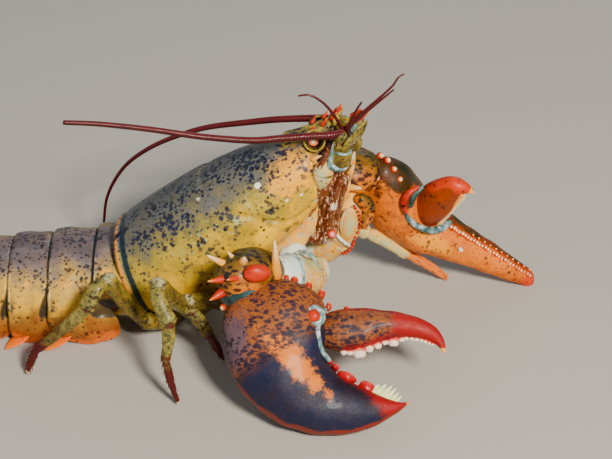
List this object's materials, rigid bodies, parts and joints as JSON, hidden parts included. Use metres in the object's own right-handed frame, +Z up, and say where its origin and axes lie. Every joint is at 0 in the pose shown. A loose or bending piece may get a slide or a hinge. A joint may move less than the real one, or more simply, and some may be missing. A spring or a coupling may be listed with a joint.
{
  "type": "american lobster",
  "caption": "American lobster at rest on a floor, head raised, with a broad crusher claw, a slimmer open cutter claw, walking legs, long feelers and a tail fan, as a still life-size model.",
  "frame": {"origin": "middle of the base of the bounding box, on the floor that the animal rests on", "axes": "+X towards the head, +Y towards the animal's left, +Z up"},
  "size_m": [0.2825, 0.1501, 0.1068],
  "materials": {
    "shell_carapace": "satin",
    "shell_abdomen": "satin",
    "shell_pale": "satin",
    "shell_crusher": "satin",
    "shell_cutter": "satin",
    "shell_leg": "satin",
    "shell_feeler": "satin",
    "shell_eye": "gloss",
    "shell_tail": "satin"
  },
  "bodies": {
    "root": {"carapace": "shell_carapace", "thorax_underside": "shell_pale", "head_front": "shell_pale", "eye_right": "shell_eye", "eye_left": "shell_eye", "abdomen_1": "shell_abdomen", "abdomen_2": "shell_abdomen", "abdomen_3": "shell_abdomen", "abdomen_4": "shell_abdomen", "abdomen_5": "shell_abdomen", "abdomen_6": "shell_abdomen", "telson": "shell_tail", "tail_fan_inner_right": "shell_tail", "tail_fan_outer_right": "shell_tail", "tail_fan_inner_left": "shell_tail", "tail_fan_outer_left": "shell_tail", "claw_right_palm": "shell_crusher", "claw_right_dactyl": "shell_crusher", "claw_right_carpus": "shell_crusher", "claw_right_merus": "shell_crusher", "claw_right_ischium": "shell_pale", "claw_left_palm": "shell_cutter", "claw_left_dactyl": "shell_cutter", "claw_left_carpus": "shell_cutter", "claw_left_merus": "shell_cutter", "claw_left_ischium": "shell_pale", "leg_5_right_upper": "shell_leg", "leg_5_right_lower": "shell_leg", "leg_4_right_upper": "shell_leg", "leg_4_right_lower": "shell_leg", "leg_3_right_upper": "shell_leg", "leg_3_right_lower": "shell_leg", "leg_2_right_upper": "shell_leg", "leg_2_right_lower": "shell_leg", "leg_5_left_upper": "shell_leg", "leg_5_left_lower": "shell_leg", "leg_4_left_upper": "shell_leg", "leg_4_left_lower": "shell_leg", "leg_3_left_upper": "shell_leg", "leg_3_left_lower": "shell_leg", "leg_2_left_upper": "shell_leg", "leg_2_left_lower": "shell_leg", "antenna_base_right": "shell_leg", "antenna_base_left": "shell_leg", "antenna_scale_right": "shell_leg", "antenna_scale_left": "shell_leg", "antennule_right": "shell_feeler", "antennule_left": "shell_feeler", "antenna_right_root": "shell_feeler", "antenna_right_tip": "shell_feeler", "antenna_left_root": "shell_feeler", "antenna_left_tip": "shell_feeler", "maxilliped_right": "shell_feeler", "maxilliped_left": "shell_feeler"}
  },
  "joints": []
}
